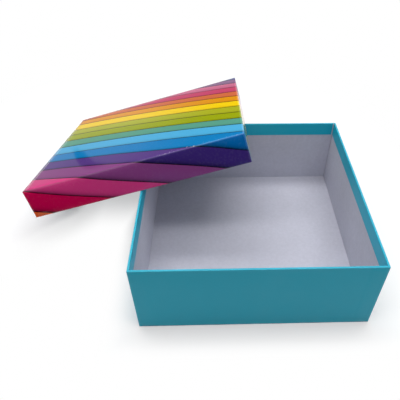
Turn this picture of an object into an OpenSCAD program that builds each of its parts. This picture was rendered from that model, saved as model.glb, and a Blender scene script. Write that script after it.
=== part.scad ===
// Rigid cardboard gift box: a square tray covered in teal paper, and a shallow lift-off lid covered
// in paper printed with rainbow stripes, taken off and left leaning over the tray's back left corner.
// Millimetres. The origin is the centre of the tray's underside, X right, Y back, Z up.

/* [Tray] */
// Outside width of the tray over its paper, left to right
tray_w = 210; // [140:1:320]
// Outside depth of the tray over its paper, front to back
tray_d = 210; // [140:1:320]
// Outside height of the tray over its paper
tray_h = 80; // [50:1:160]
// Depth of the paper band turned in below the tray's rim
tray_turn_in = 15; // [8:0.5:30]

/* [Lid] */
// Outside height of the lid over its paper
lid_h = 29; // [22:0.5:45]
// Depth of the paper band turned in above the lid's rim
lid_turn_in = 15; // [8:0.5:18]
// Gap on each side between the tray and the closed lid
lid_clearance = 0.5; // [0.2:0.1:2]

/* [Board and paper] */
// Thickness of the grey board
board_t = 1.6; // [1:0.1:3]
// Thickness of the covering paper
paper_t = 0.15; // [0.1:0.01:0.3]
// Outside radius of the papered edges
edge_r = 0.5; // [0.4:0.05:1.5]
// Slit between neighbouring board walls at each upright corner
corner_slit = 0.2; // [0.1:0.05:0.6]
// Bare board beside each inside corner, where the turned-in bands stop short
band_gap = 1.2; // [0.4:0.1:4]

/* [Corner folds] */
// Length of the paper tab that the side panels fold round each corner
tab_l = 14; // [8:0.5:25]
// Strip of that tab left showing beside the corner, outside the front and back panels
tab_show = 3; // [1:0.5:6]
// Distance that the tab stops short of the rim and the closed panel
tab_inset = 1.5; // [1:0.25:4]

/* [Corner stays] */
// Thickness of the tape that holds each upright corner of the board
stay_t = 0.1; // [0.06:0.01:0.2]
// Length of each leg of the tape
stay_leg = 12; // [6:0.5:20]
// Distance that the tape stops short of the rim and the closed panel
stay_inset = 3; // [2:0.5:6]

/* [Leaning lid] */
// How far the tray's corner lies to the right of and behind the middle of the lid, both alike
lean_offset = 5; // [0:0.5:15]
// Sideways step of the tray's left rim between that corner and the lid's front wall
lean_skew = -6.8; // [-15:0.1:15]
// Clearance left at each place where the lid rests
seat_gap = 0.05; // [0.02:0.01:0.2]

/* [Hidden] */
wall_t = board_t + 2 * paper_t;
panel_t = board_t + paper_t;
lid_w = tray_w + 2 * (wall_t + lid_clearance);
lid_d = tray_d + 2 * (wall_t + lid_clearance);
lid_depth = lid_h - panel_t;
// Furthest that the lid is pushed out past the tray's corner
lean_limit = lid_w / 4;
// Distance that a lid which can't reach the ground is drawn back to balance
lean_balance = lean_offset + 4;
slack = 1;
arc_fn = 48;
tray_colour = "#2E8A9A";
board_colour = "#BCC0CC";
stay_colour = "#D8CDB8";
lid_colour = "#2F86C8";

// The lid rests in three places on the tray's outer top edges: its front wall's inner edge on the
// left rim, its right wall's inner edge on the back rim, and the underside of its panel on the corner.
// All three are worked out in the lid's own frame, whose origin is the middle of its top face.

// Point under the panel that the tray's corner touches, with the lid pushed out by a distance
function touch(out) = [lean_offset + out, lean_offset - out, -panel_t - seat_gap];

// Run of the tray's left rim from that corner forward to the lid's front wall
function left_run(out) = [lean_skew, -(lid_d / 2 - wall_t) - touch(out).y, -lid_depth];

// Run of the tray's back rim from that corner to the lid's right wall, square to the left run
function back_run(out) =
    let (across = lid_w / 2 - wall_t - touch(out).x)
    [across, (lean_skew * across + lid_depth ^ 2) / -left_run(out).y, -lid_depth];

function unit(v) = v / norm(v);
function tray_x(out) = unit(back_run(out));
function tray_y(out) = -unit(left_run(out));
function tray_z(out) = cross(tray_x(out), tray_y(out));

// Height above the ground of the lid's outermost lower corner
function low_corner(out) = tray_h + ([-lid_w / 2, lid_d / 2, -lid_h] - touch(out)) * tray_z(out);

// Distance at which that corner comes down to the ground, by halving the range
function settle(near, far, steps = 40) =
    let (middle = (near + far) / 2)
    steps == 0 ? middle
    : low_corner(middle) > seat_gap ? settle(middle, far, steps - 1) : settle(near, middle, steps - 1);

lean_out = low_corner(lean_limit) > seat_gap ? -lean_balance : settle(-lid_w / 3, lean_limit);
lid_x = tray_x(lean_out);
lid_y = tray_y(lean_out);
lid_z = tray_z(lean_out);
lid_move = [-tray_w / 2, tray_d / 2, tray_h]
    - [lid_x * touch(lean_out), lid_y * touch(lean_out), lid_z * touch(lean_out)];

// Takes the lid, drawn like the tray with its panel down, into its leaning place
module lean() {
    multmatrix([[lid_x.x, lid_x.y, lid_x.z, lid_move.x],
                [lid_y.x, lid_y.y, lid_y.z, lid_move.y],
                [lid_z.x, lid_z.y, lid_z.z, lid_move.z]])
        rotate([180, 0, 0]) children();
}

// Rectangle about the origin with round corners
module round_rect(w, d, r) {
    square([w - 2 * r, d], center = true);
    square([w, d - 2 * r], center = true);
    for (x = [-1, 1], y = [-1, 1])
        translate([x * (w / 2 - r), y * (d / 2 - r)]) circle(r, $fn = arc_fn);
}

// Upright block on the ground with every edge rounded
module round_block(w, d, h, r) {
    intersection() {
        linear_extrude(h) round_rect(w, d, r);
        translate([0, d, h / 2]) rotate([90, 0, 0]) linear_extrude(2 * d) round_rect(w, h, r);
        translate([-w, 0, h / 2]) rotate([90, 0, 90]) linear_extrude(2 * w) round_rect(d, h, r);
    }
}

// Square-edged well of a given plan, from a floor height up to a top height
module well(w, d, floor_z, top_z) {
    translate([-w / 2, -d / 2, floor_z]) cube([w, d, top_z - floor_z]);
}

// Outer form of the board inside its paper
module board_block(w, d, h) {
    translate([0, 0, paper_t])
        round_block(w - 2 * paper_t, d - 2 * paper_t, h - 2 * paper_t, edge_r - paper_t);
}

// Board panel and four walls as the paper meets them
module board_form(w, d, h) {
    difference() {
        board_block(w, d, h);
        well(w - 2 * panel_t, d - 2 * panel_t, panel_t, h + slack);
    }
}

// One folded blank: the panel with four walls turned up, open along each upright corner
module folded_board(w, d, h) {
    difference() {
        board_form(w, d, h);
        for (x = [-1, 1], y = [-1, 1]) {
            corner_stay(w, d, h, x, y);
            translate([x * (w / 2 - panel_t - corner_slit / 2), y * (d / 2 - panel_t / 2), 0])
                well(corner_slit, panel_t + slack, panel_t, h);
        }
    }
}

// Tape let into the outside of one upright corner of the board
module corner_stay(w, d, h, x, y) {
    intersection() {
        translate([x * (w - stay_leg) / 2, y * (d - stay_leg) / 2, 0])
            well(stay_leg + slack, stay_leg + slack, stay_inset, h - stay_inset);
        difference() {
            linear_extrude(h) round_rect(w - 2 * paper_t, d - 2 * paper_t, edge_r - paper_t);
            translate([0, 0, -slack]) linear_extrude(h + 2 * slack)
                round_rect(w - 2 * (paper_t + stay_t), d - 2 * (paper_t + stay_t),
                           edge_r - paper_t - stay_t);
        }
    }
}

// Covering paper: outside, over the rim and down inside as a band, with the corner tabs under its
// front and back panels
module folded_paper(w, d, h, turn_in) {
    difference() {
        union() {
            round_block(w, d, h, edge_r);
            for (x = [-1, 1], y = [-1, 1])
                translate([x * (w / 2 - (tab_show + tab_l) / 2), y * d / 2, 0])
                    well(tab_l - tab_show, 2 * paper_t, tab_inset, h - tab_inset);
        }
        board_form(w, d, h);
        well(w - 2 * panel_t, d - 2 * panel_t, panel_t, h - turn_in);
        well(w - 2 * wall_t, d - 2 * wall_t, h - turn_in - slack, h + slack);
        for (x = [-1, 1], y = [-1, 1])
            translate([x * (w / 2 - panel_t - band_gap / 2), y * (d / 2 - panel_t - paper_t / 2), 0])
                well(band_gap, paper_t, h - turn_in - slack, h - paper_t);
    }
}

module tray_board() { color(board_colour) folded_board(tray_w, tray_d, tray_h); }
module tray_wrap() { color(tray_colour) folded_paper(tray_w, tray_d, tray_h, tray_turn_in); }
module tray_stay(x, y) { color(stay_colour) corner_stay(tray_w, tray_d, tray_h, x, y); }
module lid_board() { lean() color(board_colour) folded_board(lid_w, lid_d, lid_h); }
module lid_wrap() { lean() color(lid_colour) folded_paper(lid_w, lid_d, lid_h, lid_turn_in); }
module lid_stay(x, y) { lean() color(stay_colour) corner_stay(lid_w, lid_d, lid_h, x, -y); }

tray_board();
tray_wrap();
tray_stay(-1, -1);  // tray_stay_front_left
tray_stay(1, -1);  // tray_stay_front_right
tray_stay(-1, 1);  // tray_stay_back_left
tray_stay(1, 1);  // tray_stay_back_right
lid_board();
lid_wrap();
lid_stay(-1, -1);  // lid_stay_front_left
lid_stay(1, -1);  // lid_stay_front_right
lid_stay(-1, 1);  // lid_stay_back_left
lid_stay(1, 1);  // lid_stay_back_right
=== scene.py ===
# Rigid cardboard gift box: an open teal tray with its rainbow-striped lid leaning over the back left corner
import math

import bmesh
import bpy
import numpy as np
from mathutils import Matrix, Vector


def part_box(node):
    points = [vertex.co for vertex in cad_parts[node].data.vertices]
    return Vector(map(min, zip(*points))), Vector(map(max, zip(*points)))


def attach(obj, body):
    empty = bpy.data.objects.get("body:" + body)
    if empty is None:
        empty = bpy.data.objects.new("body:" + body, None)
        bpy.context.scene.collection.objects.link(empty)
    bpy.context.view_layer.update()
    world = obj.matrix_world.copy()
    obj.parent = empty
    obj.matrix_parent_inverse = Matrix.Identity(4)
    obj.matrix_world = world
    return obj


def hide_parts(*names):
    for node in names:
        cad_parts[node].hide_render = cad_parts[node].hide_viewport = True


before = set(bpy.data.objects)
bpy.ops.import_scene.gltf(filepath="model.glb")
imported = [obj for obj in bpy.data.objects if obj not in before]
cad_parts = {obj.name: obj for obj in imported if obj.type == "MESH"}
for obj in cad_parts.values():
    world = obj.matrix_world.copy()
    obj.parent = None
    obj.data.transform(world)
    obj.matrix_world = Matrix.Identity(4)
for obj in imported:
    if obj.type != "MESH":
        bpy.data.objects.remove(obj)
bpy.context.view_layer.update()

mm = 0.001  # shapes are worked out in millimetres and stored in metres
alike, square = 0.9999, 0.01  # cosines beyond which two normals count as parallel or as square


# A box-shaped CAD node's own directions, and its lowest and highest corner along them. Each direction is the
# mean of the normals of the faces that share it, weighted by area; the rows are right, back and up.
def boxFrame(node):
    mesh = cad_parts[node].data
    normals = np.empty(3 * len(mesh.polygons), np.float32)
    areas = np.empty(len(mesh.polygons), np.float32)
    corners = np.empty(3 * len(mesh.vertices), np.float32)
    mesh.polygons.foreach_get("normal", normals)
    mesh.polygons.foreach_get("area", areas)
    mesh.vertices.foreach_get("co", corners)
    normals, areas = normals.reshape(-1, 3).astype(float), areas.astype(float)
    found = []
    for _ in range(2):
        along = normals @ normals[np.argmax(areas)]
        same = np.abs(along) > alike
        mean = (normals * (areas * np.sign(along))[:, None])[same].sum(0)
        found.append(mean / np.linalg.norm(mean))
        areas = areas * (np.abs(normals @ found[-1]) < square)  # what is left lies square to it
    found = np.array([*found, np.cross(*found)])
    axes = found[np.argmax(np.abs(found), axis=0)]
    axes *= np.sign(np.diag(axes))[:, None]
    reach = corners.reshape(-1, 3).astype(float) @ axes.T / mm
    return axes, reach.min(0), reach.max(0)


paperThickness = (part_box("tray_board")[0].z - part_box("tray_wrap")[0].z) / mm
print("frame loaded: paper", round(paperThickness, 3), "mm thick")


# One output socket of a node tree. Sums, products and powers of it add Math nodes to the tree.
class Wire:
    def __init__(self, socket):
        self.socket = socket

    # Adds any node: its settings first, then the values or wires of its sockets, by name or number
    @staticmethod
    def node(tree, kind, settings=None, sockets=None, out=0):
        node = tree.nodes.new("ShaderNode" + kind)
        for name, value in (settings or {}).items():
            setattr(node, name, value)
        for name, value in (sockets or {}).items():
            if isinstance(value, Wire):
                tree.links.new(value.socket, node.inputs[name])
            else:
                node.inputs[name].default_value = value
        return Wire(node.outputs[out]) if node.outputs else None

    def maths(self, operation, *values):
        return Wire.node(self.socket.id_data, "Math", {"operation": operation}, dict(enumerate(values)))

    def __add__(self, other):
        return self.maths("ADD", self, other)

    def __sub__(self, other):
        return self.maths("SUBTRACT", self, other)

    def __rsub__(self, other):
        return self.maths("SUBTRACT", other, self)

    def __mul__(self, other):
        return self.maths("MULTIPLY", self, other)

    def __truediv__(self, other):
        return self.maths("DIVIDE", self, other)

    def __rpow__(self, other):
        return self.maths("POWER", other, self)

    def absolute(self):
        return self.maths("ABSOLUTE", self)

    def atLeast(self, other):
        return self.maths("MAXIMUM", self, other)

    def clamped(self):
        return self.maths("MINIMUM", self.atLeast(0.0), 1.0)

    __radd__, __rmul__ = __add__, __mul__


# A colour as a screen shows it, turned into the linear colour that shaders take
def paint(code):
    parts = [int(code[i:i + 2], 16) / 255 for i in (1, 3, 5)]
    return [c / 12.92 if c <= 0.04045 else ((c + 0.055) / 1.055) ** 2.4 for c in parts] + [1.0]


white, black = paint("#FFFFFF"), paint("#000000")


# Goes from the first colour at a share of 0 to the second at 1
def mixed(tree, share, first, second):
    return Wire.node(tree, "Mix", {"data_type": "RGBA"}, {0: share, 6: first, 7: second}, out=2)


# Goes smoothly from 0 to 1 as a value goes from start to end
def smooth(value, start, end):
    share = ((value - start) / (end - start)).clamped()
    return share * share * (3 - share * 2)


# Noise about 0 in the object's own coordinates or at a given place, with grains about a size in millimetres
def grain(tree, size, detail=2.0, stretch=(1, 1, 1), place=None, turn=0):
    place = place or Wire.node(tree, "TexCoord", out="Object")
    place = Wire.node(tree, "Mapping", {}, {"Vector": place, "Rotation": (0, 0, turn), "Scale": stretch})
    noise = Wire.node(tree, "TexNoise", {}, {"Vector": place, "Scale": 1 / (size * mm), "Detail": detail})
    return noise - 0.5  # the noise itself lies about 0.5


def newMaterial(name):
    material = bpy.data.materials.new(name)
    material.use_nodes = True
    material.node_tree.nodes.clear()
    return material, material.node_tree


# Joins colour, roughness and height in metres to a shader, with its constant values on its own sockets
def finishSurface(tree, colour, roughness, height, **constant):
    bump = Wire.node(tree, "Bump", {}, {"Height": height, "Distance": 1.0})
    surface = Wire.node(tree, "BsdfPrincipled", {}, {
        "Base Color": colour, "Roughness": roughness, "Normal": bump, **constant})
    Wire.node(tree, "OutputMaterial", {}, {"Surface": surface})


# Smooth coated paper: a base colour, faint cloudiness, a rubbed line along the folds, and a skin that is
# slightly wavy where it is glued over the board. A relief in millimetres may be added to the waves.
def paperSurface(tree, colour, spec, relief=0.0):
    cloud = grain(tree, spec["cloudSize"], detail=3)
    fibre = grain(tree, spec["fibreSize"], detail=4)
    fold = Wire.node(tree, "Attribute", {"attribute_name": "fold"}, out="Fac")
    cloudy, fibrous = cloud * spec["cloudDepth"], fibre * spec["fibreDepth"]
    colour = mixed(tree, (cloudy + fibrous).clamped(), colour, white)
    colour = mixed(tree, (fibrous - cloudy).clamped(), colour, black)
    colour = mixed(tree, (fold * (0.5 + fibre) * spec["foldWear"]).clamped(), colour, white)
    roughness = spec["roughness"] + cloud * spec["cloudRoughness"] + fibre * spec["fibreRoughness"]
    roughness = roughness + fold * spec["foldRoughness"]
    height = (cloud * spec["waveHeight"] + fibre * spec["fibreHeight"] + relief) * mm
    finishSurface(tree, colour, roughness, height, **spec["shader"])


tealPaper = {
    "colour": "#0CABC6",
    "cloudSize": 45, "cloudDepth": 0.05, "cloudRoughness": 0.06, "waveHeight": 0.06,
    "fibreSize": 0.5, "fibreDepth": 0.04, "fibreRoughness": 0.08, "fibreHeight": 0.002,
    "foldWear": 0.07, "foldRoughness": 0.05, "roughness": 0.38,
    "shader": {"Specular IOR Level": 0.25},
}


def makeTealPaper(spec):
    material, tree = newMaterial("teal_paper")
    paperSurface(tree, paint(spec["colour"]), spec)
    return material


# The printed sheet. Each stripe lies over the one before it, from the top right of the sheet to its bottom
# left. Its upper edge is a parabola through three heights on the sheet, to the left of the middle, in the
# middle and to the right of it, and it shades the stripe above it. The blue and indigo stripes take a second,
# darker colour on the front wall, which is painted shade.
rainbowPaper = {
    "topColour": "#4CAADA", "heightsApart": 100,
    "stripes": [
        ("#1080BE", 251, 219, 175), ("#45307C", 232, 200, 157), ("#7B3A80", 212, 181, 138),
        ("#58609E", 193, 162, 119), ("#845686", 174, 144, 100), ("#D66D93", 154, 126, 82),
        ("#D44C73", 135, 106, 62), ("#DE7243", 117, 86, 41), ("#EC9C0A", 99, 69, 21),
        ("#FED700", 82, 49, 1), ("#B1B61E", 61, 27, -19), ("#9EAA00", 42, 7, -40),
        # A fifth entry is a darker copy of the stripe's ink for the front wall: painted shade
        ("#59A18A", 21, -14, -60), ("#4EB1E0", 0, -33, -78), ("#0A7FC0", -22, -56, -99, "#006BB6"),
        ("#573A84", -42, -80, -124, "#3D2877"), ("#863F80", -63, -102, -148), ("#D1397F", -85, -126, -171),
        ("#C5004B", -109, -148, -196), ("#DC5408", -130, -170, -220), ("#F0A008", -151, -192, -244),
    ],
    "edgeBlur": 0.1, "shadeReach": 1.8, "shadeDepth": 1.18, "wallSpread": 0.3,
    # Where the print rises towards the front fold, and how it lies once it has settled down the front wall
    "swell": 4.2, "swellMiddle": -15, "swellHalf": 95, "swellFrom": -70, "fold": -107.4, "settled": -136,
    "wallShift": -0.9, "wallTurn": -0.034,
    "cloudSize": 50, "cloudDepth": 0.02, "cloudRoughness": 0.06, "waveHeight": 0.05,
    "fibreSize": 2.2, "fibreDepth": 0.06, "fibreRoughness": 0.08, "fibreHeight": 0.003,
    "foldWear": 0.03, "foldRoughness": 0.35, "roughness": 0.1,
    # How the paper rounds off towards the folds round the top: softly on the left, and less on the right
    "softDrop": 2.0, "softWidth": 1.8, "softEnd": 0.3, "softFrom": -10, "softTo": 30,
    # Painted glints along the front fold: pale specks that stand in for highlights on the creased paper
    "speckSize": 1.4, "speckStretch": (1, 0.4, 1), "speckTurn": 0.6, "speckGain": 8,
    "groupSize": 9, "groupGain": 6, "speckLimit": 0.6, "speckDepth": 0.45,
    "speckFrom": 0, "speckTo": 70, "speckEnd": 0.5, "speckAbove": 1.5, "speckWidth": 4.2,
    "shader": {"Specular IOR Level": 0.35},
}


# Painted glints: small pale specks that stand in for highlights on the creased paper, gathered in groups along
# a line just above the front fold, more of them to the right. They end at the right fold.
def paintedGlintSpecks(tree, flat, right, below, spec):
    speck = grain(tree, spec["speckSize"], 2, spec["speckStretch"], flat, spec["speckTurn"]) * spec["speckGain"]
    group = grain(tree, spec["groupSize"], 1, place=flat) * spec["groupGain"]
    speck = (speck + group - spec["speckLimit"]).clamped() * smooth(right, spec["speckFrom"], spec["speckTo"])
    speck = speck * smooth(right, spec["speckEnd"] - spec["fold"], -spec["speckEnd"] - spec["fold"])
    fromLine = (below + spec["speckAbove"]).absolute()
    return speck * (1 - fromLine / spec["speckWidth"]).clamped()


def makeRainbowPaper(spec):
    material, tree = newMaterial("rainbow_paper")
    flat = Wire.node(tree, "UVMap", {"uv_map": "sheet"})
    right, up = [Wire.node(tree, "SeparateXYZ", {}, {0: flat}, out=k) / mm for k in (0, 1)]
    below = spec["fold"] - up
    bulge = (right - spec["swellMiddle"]) / spec["swellHalf"]
    nearFold = ((spec["swellFrom"] - up) / (spec["swellFrom"] - spec["fold"])).clamped()
    swell = (1 - bulge * bulge).clamped() * nearFold * spec["swell"]
    settled = (below / (spec["fold"] - spec["settled"])).clamped()
    printed = up + swell * (1 - settled) + settled * (spec["wallShift"] + right * spec["wallTurn"])
    across, onWall = right / spec["heightsApart"], (below + 0.5).clamped()
    colour = paint(spec["topColour"])
    for code, left, middle, end, *shadedWallCode in spec["stripes"]:
        bow = (left + end) / 2 - middle
        above = printed - (middle + across * ((end - left) / 2 + across * bow))
        shade = math.exp(-1 / spec["shadeReach"]) ** (above * (1 - onWall * spec["wallSpread"]))
        colour = mixed(tree, (shade * spec["shadeDepth"]).clamped(), colour, black)
        # Painted shade: a darker copy of the ink on the front wall, where one is given
        ink = mixed(tree, onWall, paint(code), paint(shadedWallCode[0])) if shadedWallCode else paint(code)
        colour = mixed(tree, (0.5 - above / spec["edgeBlur"]).clamped(), colour, ink)
    # Painted highlight: the pale glint specks on the top, mixed towards white
    speck = paintedGlintSpecks(tree, flat, right, below, spec) * (1 - onWall)
    colour = mixed(tree, speck * spec["speckDepth"], colour, white)
    fromFold = up.absolute().atLeast(right.absolute()) + spec["fold"]
    drop = (smooth(right, spec["softFrom"], spec["softTo"]) * (spec["softEnd"] - 1) + 1) * -spec["softDrop"]
    relief = math.exp(-1 / spec["softWidth"]) ** fromFold.absolute() * drop
    paperSurface(tree, colour, spec, relief)
    return material


paperCore = {
    "pale": "#D9D6CE", "dark": "#B5B0A6",
    "fibreSize": 0.4, "fibreDetail": 3, "fibreStretch": (1, 1, 1), "fibreHeight": 0.01,
    "roughness": 0.85, "fibreRoughness": 0.1, "shader": {"Specular IOR Level": 0.2},
}

stayTape = {
    "pale": "#CDBF9F", "dark": "#B3A27D",
    "fibreSize": 0.6, "fibreDetail": 4, "fibreStretch": (1, 1, 6), "fibreHeight": 0.02,
    "roughness": 0.7, "fibreRoughness": 0.2, "shader": {"Specular IOR Level": 0.3},
}


# Plain fibrous paper between two shades: the cut edge of the covering paper, and the kraft tape
def makePlainPaper(name, spec):
    material, tree = newMaterial(name)
    fibre = grain(tree, spec["fibreSize"], spec["fibreDetail"], spec["fibreStretch"])
    colour = mixed(tree, fibre + 0.5, paint(spec["pale"]), paint(spec["dark"]))
    roughness = spec["roughness"] + fibre * spec["fibreRoughness"]
    finishSurface(tree, colour, roughness, fibre * spec["fibreHeight"] * mm, **spec["shader"])
    return material


greyBoard = {
    "pale": "#CBCBD7", "dark": "#B7B7C3", "fleck": "#A0A0AD",
    "cloudSize": 60, "cloudShare": 0.8,
    "mottleSize": 3, "mottleShare": 0.9, "mottleHeight": 0.03,
    "fibreSize": 0.7, "fibreHeight": 0.012, "fibreRoughness": 0.2, "roughness": 0.82,
    "fleckFrom": 0.12, "fleckGain": 3, "fleckDepth": 0.5,
    "shader": {"Specular IOR Level": 0.25},
}


# Grey board lined with off-white paper: soft clouds, a fine mottle and a few darker fibres
def makeGreyBoard(spec):
    material, tree = newMaterial("grey_board")
    cloud = grain(tree, spec["cloudSize"], detail=2)
    mottle = grain(tree, spec["mottleSize"], detail=5)
    fibre = grain(tree, spec["fibreSize"], detail=3)
    shade = (0.5 + cloud * spec["cloudShare"] + mottle * spec["mottleShare"]).clamped()
    fleck = ((fibre - spec["fleckFrom"]) * spec["fleckGain"]).clamped() * spec["fleckDepth"]
    colour = mixed(tree, shade, paint(spec["pale"]), paint(spec["dark"]))
    colour = mixed(tree, fleck, colour, paint(spec["fleck"]))
    roughness = spec["roughness"] + fibre * spec["fibreRoughness"]
    height = (mottle * spec["mottleHeight"] + fibre * spec["fibreHeight"]) * mm
    finishSurface(tree, colour, roughness, height, **spec["shader"])
    return material


tealFinish, rainbowFinish = makeTealPaper(tealPaper), makeRainbowPaper(rainbowPaper)
coreFinish, tapeFinish = makePlainPaper("paper_core", paperCore), makePlainPaper("stay_tape", stayTape)
boardFinish = makeGreyBoard(greyBoard)
print("materials made")

foldedSheet = {
    "foldRadius": 0.6, "rimRadius": 0.3, "arcSteps": 6,  # outer folds, and the inside of the rim
    "wall": 1.9,                                         # the board with paper on both sides
    "turnIn": 15, "bandGap": 1.2,                        # band inside the rim, and bare board beside its ends
    "tabShow": 3, "tabLength": 14, "tabInset": 1.5,      # the side panels' tabs round each upright corner
    "tabSlope": 1.2, "endSlope": 0.6, "cutWidth": 0.04,  # how the front and back panels ride over the tabs
    "gridStep": 5, "tabColumns": (6, 9), "bandRows": 4,  # the mesh, finer over the tabs
    "foldSpread": 0.8, "bandWear": 0.3,                  # width of the rubbed folds, and its share in the band
    "boardGap": 0.01,                                    # left between the paper and the board
    "weldWithin": 0.001, "sharpFrom": 35,                # millimetres, degrees
}


# Rows of the section through one wall, from the panel's edge up the outside, over the rim and down the band.
# Each row is a distance in from the outer face, a height, a distance past the panel's edge on the flat sheet,
# a share of the tab's thickness and a nearness to a fold. The folds are quarter circles.
def wallSection(height, wall, spec):
    r, q, inset = spec["foldRadius"], spec["rimRadius"], spec["tabInset"]
    share = np.linspace(0, 1, spec["arcSteps"] + 1)
    turn = share * np.pi / 2
    ramp = spec["endSlope"] / 2
    rise = np.linspace(r, height - r, round((height - 2 * r) / spec["gridStep"]) + 1)[1:-1]
    ends = [inset - ramp, inset + ramp, height - inset - ramp, height - inset + ramp]
    rise = np.unique(np.concatenate([rise, ends]))
    drop = np.linspace(height - q, height - spec["turnIn"], spec["bandRows"] + 1)[1:]
    none = np.zeros(len(share))
    tabStart = np.clip((rise - inset + ramp) / (2 * ramp), 0, 1)
    tabEnd = np.clip((height - inset + ramp - rise) / (2 * ramp), 0, 1)
    near = np.exp(-(np.minimum(rise, height - rise) - r) / spec["foldSpread"])
    return {
        "inset": np.concatenate([r - r * np.sin(turn), 0 * rise, r - r * np.cos(turn),
                                 wall - q + q * np.sin(turn), 0 * drop + wall]),
        "height": np.concatenate([r - r * np.cos(turn), rise, height - r + r * np.sin(turn),
                                  height - q + q * np.cos(turn), drop]),
        "flat": np.concatenate([r * (2 * share - 1), rise, height + r * (2 * share - 1),
                                height + wall + q * (2 * share - 1), 2 * height + wall - drop]),
        "tab": np.concatenate([none, tabStart * tabEnd, none, none, 0 * drop]),
        "fold": np.concatenate([none + 1, near, none + 1, none + 1, 0 * drop]),
        "rimEnd": 2 * len(share) + len(rise),
    }


# Places along one wall as shares of its straight half length, in even steps that are closer where the tabs and
# the band end, and the share at which the band ends
def wallShares(half, wall, spec):
    straight = half - spec["foldRadius"]
    cut, slope, length = spec["cutWidth"] / 2, spec["tabSlope"], spec["tabLength"]
    even = np.linspace(0, half - length - 2 * slope, round(half / spec["gridStep"]))
    tab = half - np.array([spec["tabShow"] - cut, spec["tabShow"] + cut, *spec["tabColumns"],
                           length - slope, length, length + slope])
    band = (half - wall - spec["bandGap"]) / (half - wall) * straight
    marks = np.unique(np.concatenate([even, tab, [band, straight]]))
    return np.concatenate([-marks[:0:-1], marks]) / straight, band / straight


# Columns round the four walls, starting on the front one and turning left to right: the wall, the share along
# it, the share of the corner arc that follows, and the distance walked on the flat sheet
def columnsRound(width, depth, wall, spec):
    r, arc = spec["foldRadius"], np.linspace(0, 1, spec["arcSteps"] + 1)[1:-1]
    side, share, corner = [], [], []
    for number, half in enumerate((width / 2, depth / 2) * 2):
        straight = wallShares(half, wall, spec)[0]
        side.append(np.full(len(straight) + len(arc), number))
        share.append(np.concatenate([straight, np.ones(len(arc))]))
        corner.append(np.concatenate([np.zeros(len(straight)), arc]))
    side, share, corner = np.concatenate(side), np.concatenate(share), np.concatenate(corner)
    middle = np.arange(4) * (width + depth) / 2
    half = np.where(side % 2 == 0, width, depth) / 2
    walk = middle[side] + share * (half - r) + 2 * r * corner
    return {"side": side, "share": share, "corner": corner, "walk": walk, "middle": middle,
            "half": half, "out": np.where(side % 2 == 0, depth, width) / 2}


sideAlong = np.array([[1, 0], [0, 1], [-1, 0], [0, -1]])
sideOut = np.array([[0, -1], [1, 0], [0, 1], [-1, 0]])


# The sheet's points in the box's own frame, panel down, with how near each lies to a fold: the wall section
# carried round the rounded rectangle, then a grid over the panel. The corner radius shrinks with the distance
# in, and the front and back panels stand out over the tabs.
def sheetPoints(width, depth, wall, rows, cols, spec):
    r, inset = spec["foldRadius"], rows["inset"][:, None]
    side, share, half, out = cols["side"], cols["share"], cols["half"], cols["out"]
    rounding, bend = np.maximum(r - inset, 0), cols["corner"] * np.pi / 2
    fromCorner = half - np.abs(share) * (half - r)
    over = np.clip((spec["tabLength"] + spec["tabSlope"] - fromCorner) / (2 * spec["tabSlope"]), 0, 1)
    over = over * (fromCorner > spec["tabShow"]) * (side % 2 == 0)
    lift = paperThickness * rows["tab"][:, None] * over
    along = share * (half - np.maximum(r, inset)) + rounding * np.sin(bend)
    away = out - np.maximum(r, inset) + rounding * np.cos(bend) + lift
    plan = along[..., None] * sideAlong[side] + away[..., None] * sideOut[side]
    ring = np.dstack([plan, np.broadcast_to(rows["height"][:, None], along.shape)])
    atCorner = np.exp(-(fromCorner - r) / spec["foldSpread"])
    fold = np.maximum(rows["fold"][:, None] * np.ones(len(side)), atCorner)
    fold[rows["rimEnd"]:] *= spec["bandWear"]

    acrossPanel = wallShares(width / 2, wall, spec)[0] * (width / 2 - r)
    upPanel = wallShares(depth / 2, wall, spec)[0] * (depth / 2 - r)
    gridX, gridY = np.meshgrid(acrossPanel, upPanel, indexing="ij")
    panel = np.dstack([gridX, gridY, 0 * gridX])
    edge = np.minimum(width / 2 - r - np.abs(gridX), depth / 2 - r - np.abs(gridY))
    points = np.concatenate([ring.reshape(-1, 3), panel.reshape(-1, 3)])
    folds = np.concatenate([fold.ravel(), np.exp(-edge / spec["foldSpread"]).ravel()])
    return points, folds, gridX.shape


# The faces of the four walls with their corners' places on the flat sheet, on which every wall is laid out from
# the panel's edge. The corner folds belong to the front and back walls. Faces that have no width are left out,
# and so is the band beside each corner on the front and back walls, where the board is bare.
def wallFaces(width, depth, wall, rows, cols, spec):
    side, share = cols["side"], cols["share"]
    count = len(side)
    i, j = np.meshgrid(np.arange(len(rows["inset"]) - 1), np.arange(count), indexing="ij")
    after = (j + 1) % count
    inCorner = (share == 1) | (cols["corner"] > 0)
    nextShare = np.where(inCorner, 1, np.roll(share, -1))
    middleShare = (share + nextShare) / 2
    owner = np.where(inCorner & (side % 2 == 1), side + 1, side) % 4
    bandEnd = np.where(side % 2 == 0, wallShares(width / 2, wall, spec)[1], np.inf)
    collapsed = inCorner[j] & (rows["inset"][i] >= spec["foldRadius"])
    notched = (np.abs(middleShare) > bandEnd)[j] & (i >= rows["rimEnd"])
    kept = ~collapsed & ~notched
    i, j, after = i[kept], j[kept], after[kept]
    quads = np.stack([i * count + j, i * count + after, (i + 1) * count + after, (i + 1) * count + j], -1)

    total = 2 * (width + depth)
    nextWalk = np.append(cols["walk"][1:], total - (width / 2 - spec["foldRadius"]))
    walked = np.stack([cols["walk"][j], nextWalk[j]], -1)
    walked = walked - cols["middle"][owner[j]][:, None]
    walked = (walked + total / 2) % total - total / 2
    beyond = np.where(owner[j] % 2 == 0, depth, width) / 2
    alongFlat = walked[:, [0, 1, 1, 0], None] * sideAlong[owner[j]][:, None]
    outFlat = (beyond[:, None] + rows["flat"][np.stack([i, i, i + 1, i + 1], -1)])[..., None]
    return quads, alongFlat + outFlat * sideOut[owner[j]][:, None]


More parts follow.
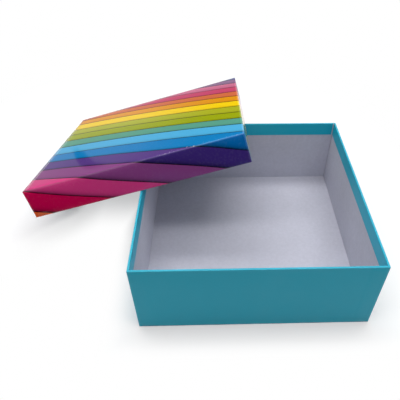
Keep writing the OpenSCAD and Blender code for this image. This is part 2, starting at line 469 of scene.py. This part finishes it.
# The whole sheet: points, faces, the faces' places on the flat sheet, and nearness to a fold
def coveringSheet(width, depth, height, wall, spec):
    rows, cols = wallSection(height, wall, spec), columnsRound(width, depth, wall, spec)
    points, folds, (across, up) = sheetPoints(width, depth, wall, rows, cols, spec)
    quads, flats = wallFaces(width, depth, wall, rows, cols, spec)
    i, j = np.meshgrid(np.arange(across - 1), np.arange(up - 1), indexing="ij")
    first = len(points) - across * up + i.ravel() * up + j.ravel()
    panelQuads = np.stack([first, first + 1, first + up + 1, first + up], -1)
    return (points, np.concatenate([quads, panelQuads]),
            np.concatenate([flats, points[panelQuads][..., :2]]), folds)


# Puts a mesh with its materials into the scene
def addPiece(name, mesh, *finishes):
    for finish in finishes:
        mesh.materials.append(finish)
    piece = bpy.data.objects.new(name, mesh)
    bpy.context.scene.collection.objects.link(piece)
    return piece


# Makes the sheet a closed mesh of the paper's thickness, placed by the rows of its own right, back and up. A
# flip of -1 turns it over, panel up.
def makeWrap(name, origin, axes, sizes, flip, finish, spec):
    points, quads, flats, folds = coveringSheet(*sizes, spec)
    placed = (origin + points @ (axes * [[1], [flip], [flip]])) * mm
    mesh = bpy.data.meshes.new(name)
    mesh.from_pydata(placed.tolist(), [], quads.tolist())
    layer = mesh.uv_layers.new(name="sheet")
    layer.data.foreach_set("uv", (flats * [1, flip] * mm).astype(np.float32).ravel())
    mesh.attributes.new("fold", "FLOAT", "POINT").data.foreach_set("value", folds.astype(np.float32))
    build = bmesh.new()
    build.from_mesh(mesh)
    bmesh.ops.remove_doubles(build, verts=build.verts, dist=spec["weldWithin"] * mm)
    loose = [v for v in build.verts if not v.link_faces]
    bmesh.ops.delete(build, geom=loose, context="VERTS")
    for face in build.faces:
        face.smooth = True
    build.to_mesh(mesh)
    build.free()
    piece = addPiece(name, mesh, finish, coreFinish)
    wall = piece.modifiers.new("paper", "SOLIDIFY")
    wall.thickness = (paperThickness - spec["boardGap"]) * mm
    wall.offset = -1
    wall.material_offset_rim = 1
    solid = bpy.data.meshes.new_from_object(piece.evaluated_get(bpy.context.evaluated_depsgraph_get()))
    piece.modifiers.clear()
    piece.data = solid
    solid.set_sharp_from_angle(angle=math.radians(spec["sharpFrom"]))
    return piece


# The tray's or the lid's outside, from its board and the paper round it
def outsideOf(board):
    axes, low, high = boxFrame(board)
    return axes, low - paperThickness, high + paperThickness


trayAxes, trayLow, trayHigh = outsideOf("tray_board")
lidAxes, lidLow, lidHigh = outsideOf("lid_board")
trayMiddle, lidMiddle = (trayLow + trayHigh) / 2, (lidLow + lidHigh) / 2
trayOrigin = np.array([*trayMiddle[:2], trayLow[2]]) @ trayAxes
lidOrigin = np.array([*lidMiddle[:2], lidHigh[2]]) @ lidAxes
traySizes, lidSizes = trayHigh - trayLow, lidHigh - lidLow
print("tray", traySizes.round(2), "lid", lidSizes.round(2), "at", lidOrigin.round(1))

wallThickness = foldedSheet["wall"]
trayWrap = makeWrap("tray_paper", trayOrigin, trayAxes, [*traySizes, wallThickness], 1, tealFinish, foldedSheet)
lidWrap = makeWrap("lid_paper", lidOrigin, lidAxes, [*lidSizes, wallThickness], -1, rainbowFinish, foldedSheet)
for piece, node, slot in ((trayWrap, "tray_wrap", "teal_paper"), (lidWrap, "lid_wrap", "rainbow_paper")):
    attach(piece, "root")
    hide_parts(node)
for name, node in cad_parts.items():
    if name.endswith("_board"):
        node.data.materials.clear()
        node.data.materials.append(boardFinish)
    elif "_stay_" in name:
        node.data.materials.clear()
        node.data.materials.append(tapeFinish)
print("pieces made:", len(trayWrap.data.polygons), "and", len(lidWrap.data.polygons), "faces")

viewpoint = {
    "place": (-34.4, -317.4, 352.2),             # millimetres
    "down": 43.17, "right": 2.19, "roll": 0.77,  # degrees
    "focal": 1.0826, "sensor": 36,               # focal length as a share of the sensor's width
    "axis": (227.4, 202.9), "picture": 400,      # where the lens looks straight ahead, in the square picture
    "nearest": 0.01, "furthest": 50,             # metres
}


def makeCamera(spec):
    lens = bpy.data.cameras.new("camera")
    lens.sensor_width = spec["sensor"]
    lens.lens = spec["sensor"] * spec["focal"]
    lens.shift_x = 0.5 - spec["axis"][0] / spec["picture"]
    lens.shift_y = spec["axis"][1] / spec["picture"] - 0.5
    lens.clip_start, lens.clip_end = spec["nearest"], spec["furthest"]
    camera = bpy.data.objects.new("camera", lens)
    bpy.context.scene.collection.objects.link(camera)
    turn = [math.radians(spec[k]) for k in ("right", "down", "roll")]
    camera.matrix_world = (Matrix.Translation(Vector(spec["place"]) * mm) @ Matrix.Rotation(-turn[0], 4, "Z")
                           @ Matrix.Rotation(math.pi / 2 - turn[1], 4, "X") @ Matrix.Rotation(turn[2], 4, "Z"))
    bpy.context.scene.camera = camera


studio = {
    "skyLight": 0.28,
    # The floor's tone for the light that it gives back, the light that keeps its open part white, half its
    # width in metres, and how far below the box it lies in millimetres
    "floorTone": 0.43, "openLight": 1.05, "floorHalf": 4.0, "floorDrop": 0.05,
    # How much of the real shade the floor shows, by place in millimetres. Near the tray it fades out with the
    # distance, which counts for less on the right. A tint for red, green and blue takes the teal light of the
    # front and right walls out of it.
    "shadowTone": 0.95, "trayHalf": 105, "trayReach": 35, "rightShare": 0.4,
    "shadeTint": (0.85, 0.96, 1), "tintFade": 10,
    # Under the lid it grows towards the back in two parts, along lines that bend at the lid's lower corner,
    # and it fades out round the lid
    "lidFrom": 15, "lidFull": 75, "lidShare": 0.5, "lidBend": -165, "lidLean": 0.8,
    "cornerFrom": 15, "cornerFull": 30, "deepFrom": 60, "deepFull": 80,
    "lidMiddle": (-100, 100), "lidReach": (230, 330),
    # Soft lamps aimed at the box: place and size in metres, power in watts
    "aim": (0, 0, 0.05),
    "lamps": {
        "frontStrip": {"place": (0, -0.42, 1.5), "width": 2.4, "depth": 0.2, "power": 9.4},
        "backStrip": {"place": (0, 0.36, 1.5), "width": 1.6, "depth": 0.3, "power": 9.1},
        "overhead": {"place": (0, 0, 1.5), "width": 1.5, "depth": 1.5, "power": 4.1},
        "behind": {"place": (-0.3, 1.4, 1.1), "width": 1, "depth": 1, "power": 4},
        "left": {"place": (-1.5, 0, 0.9), "width": 1, "depth": 1, "power": 3},
        "right": {"place": (1.5, 0, 0.9), "width": 1, "depth": 1, "power": 3.5},
    },
    # A black card that only reflections see, upright in front of the box, in millimetres
    "frontCard": {"left": (-600, -140), "right": (200, -260), "low": 3, "high": 320},
    # A glowing card of the same kind behind the lid, a light that only reflections see, which glows brighter to
    # the left and towards the floor, is darker above a sloping line, and has one dark upright slot
    "backCard": {"left": (-620, 260), "right": (8, 260), "low": 4, "high": 260,
                 "dim": 0.03, "bright": 0.35, "fadeFrom": -30, "fadeTo": -200,
                 "farBright": 0.13, "farFrom": -210, "farTo": -290,
                 "lowBright": 0.4, "lowFrom": 27, "lowTo": 17,
                 "slope": 0.35, "levelAt": -200, "darkFrom": 45, "darkTo": 70, "darker": 0.4, "lag": 1.2,
                 "slot": -278, "slotLean": 0.09, "slotBend": 0.05, "bendFrom": 72,
                 "slotWidth": 20, "slotWiden": 42, "slotLow": 44, "slotHigh": 97,
                 "slotSoft": 8, "slotEdge": 2.5},
}


# Is 1 for rays that show the floor or the sky directly, in a mirror or through glass
def directRay(tree):
    rays = [Wire.node(tree, "LightPath", out=kind)
            for kind in ("Is Camera Ray", "Is Glossy Ray", "Is Transmission Ray")]
    return (rays[0] + rays[1] + rays[2]).clamped()


# How much of the real shade the floor shows by the tray and under the lid, as a share of one for red, green
# and blue
def shownShade(tree, spec):
    half, fade = spec["trayHalf"], spec["tintFade"]
    place = Wire.node(tree, "TexCoord", out="Object")
    x, y = [Wire.node(tree, "SeparateXYZ", {}, {0: place}, out=k) / mm for k in (0, 1)]
    aside = ((x - half) * spec["rightShare"]).atLeast(x * -1 - half)
    nearTray = smooth(aside.atLeast(y.absolute() - half), spec["trayReach"], 0)
    tinted = smooth(y, fade - half, -half).atLeast(smooth(x, half - fade, half))
    leftward = (spec["lidBend"] - x).atLeast(0.0) * spec["lidLean"]
    deep, corner = y + leftward, smooth(leftward, spec["cornerFrom"], spec["cornerFull"])
    underLid = smooth(deep, spec["lidFrom"], spec["lidFull"]) * spec["lidShare"]
    underLid = underLid + smooth(deep, spec["deepFrom"], spec["deepFull"]) * corner * (1 - spec["lidShare"])
    fromLid = [one - middle for one, middle in zip((x, y), spec["lidMiddle"])]
    fromLid = x.maths("SQRT", fromLid[0] * fromLid[0] + fromLid[1] * fromLid[1])
    underLid = underLid * (1 - smooth(fromLid, *spec["lidReach"]))
    return [(nearTray * (1 - tinted * (1 - share))).atLeast(underLid) * spec["shadowTone"]
            for share in spec["shadeTint"]]


def makeFloor(spec):
    material, tree = newMaterial("floor")
    seen, shown = directRay(tree), shownShade(tree, spec)
    tones = [spec["floorTone"] + seen * (one - spec["floorTone"]) for one in shown]
    glows = [1 - one * spec["openLight"] for one in shown]
    tone, shine = [Wire.node(tree, "CombineColor", {}, dict(enumerate(one))) for one in (tones, glows)]
    surface = Wire.node(tree, "BsdfDiffuse", {}, {"Color": tone})
    glow = Wire.node(tree, "Emission", {}, {"Color": shine, "Strength": seen})
    total = Wire.node(tree, "AddShader", {}, {0: surface, 1: glow})
    Wire.node(tree, "OutputMaterial", {}, {"Surface": total})
    half, low = spec["floorHalf"], -spec["floorDrop"] * mm
    corners = [(x * half, y * half, low) for x, y in ((-1, -1), (1, -1), (1, 1), (-1, 1))]
    mesh = bpy.data.meshes.new("floor")
    mesh.from_pydata(corners, [], [(0, 1, 2, 3)])
    floor = addPiece("floor", mesh, material)


def makeLights(spec):
    world = bpy.data.worlds.new("studio")
    bpy.context.scene.world = world
    world.use_nodes = True
    tree = world.node_tree
    tree.nodes.clear()
    strength = spec["skyLight"] + directRay(tree) * (1 - spec["skyLight"])
    sky = Wire.node(tree, "Background", {}, {"Color": white, "Strength": strength})
    Wire.node(tree, "OutputWorld", {}, {"Surface": sky})
    for name, one in spec["lamps"].items():
        light = bpy.data.lights.new(name, "AREA")
        light.shape, light.size, light.size_y = "RECTANGLE", one["width"], one["depth"]
        light.energy = one["power"]
        lamp = bpy.data.objects.new(name, light)
        lamp.location = one["place"]
        lamp.rotation_euler = (Vector(spec["aim"]) - Vector(one["place"])).to_track_quat("-Z", "Y").to_euler()
        bpy.context.scene.collection.objects.link(lamp)


# The card's brightness. It grows in two steps towards the left, later above the line that slopes up to the
# right, where it is also lower, and it is highest along the foot. The slot bends and widens with height.
def makeGlow(spec):
    material, tree = newMaterial("back_card")
    place = Wire.node(tree, "TexCoord", out="Object")
    x, z = [Wire.node(tree, "SeparateXYZ", {}, {0: place}, out=k) / mm for k in (0, 2)]
    level = z - (x - spec["levelAt"]) * spec["slope"]
    late = x + (level - spec["darkFrom"]).atLeast(0.0) * spec["lag"]
    glow = smooth(late, spec["fadeFrom"], spec["fadeTo"]) * spec["bright"]
    glow = glow * (1 - smooth(level, spec["darkFrom"], spec["darkTo"]) * spec["darker"])
    glow = glow + smooth(late, spec["farFrom"], spec["farTo"]) * spec["farBright"] + spec["dim"]
    glow = glow + smooth(level, spec["lowFrom"], spec["lowTo"]) * spec["lowBright"]
    bend = (z - spec["bendFrom"]).atLeast(0.0)
    fromSlot = x - spec["slot"] - (z - spec["slotLow"]) * spec["slotLean"] - bend * bend * spec["slotBend"]
    halfWidth = z.maths("MINIMUM", z - spec["slotWiden"], spec["slotWidth"]) * 0.5
    inSlot = ((halfWidth - fromSlot.absolute()) / spec["slotEdge"] + 0.5).clamped()
    inSlot = inSlot * smooth(z, spec["slotLow"], spec["slotLow"] + spec["slotSoft"])
    inSlot = inSlot * smooth(z, spec["slotHigh"], spec["slotHigh"] - spec["slotSoft"])
    shine = Wire.node(tree, "Emission", {}, {"Strength": glow * (1 - inSlot)})
    Wire.node(tree, "OutputMaterial", {}, {"Surface": shine})
    return material


def makeBlack():
    material, tree = newMaterial("front_card")
    surface = Wire.node(tree, "BsdfDiffuse", {}, {"Color": black})
    Wire.node(tree, "OutputMaterial", {}, {"Surface": surface})
    return material


def makeCard(name, spec, finish):
    corners = [(spec[end][0] * mm, spec[end][1] * mm, spec[edge] * mm)
               for end, edge in (("left", "low"), ("right", "low"), ("right", "high"), ("left", "high"))]
    mesh = bpy.data.meshes.new(name)
    mesh.from_pydata(corners, [], [(0, 1, 2, 3)])
    card = addPiece(name, mesh, finish)
    card.visible_camera = card.visible_diffuse = card.visible_transmission = False
    card.visible_shadow = card.visible_volume_scatter = False


makeCamera(viewpoint)
makeFloor(studio)
makeLights(studio)
makeCard("front_card", studio["frontCard"], makeBlack())
makeCard("back_card", studio["backCard"], makeGlow(studio["backCard"]))
bpy.context.scene.view_settings.view_transform = "Standard"
print("stage set")
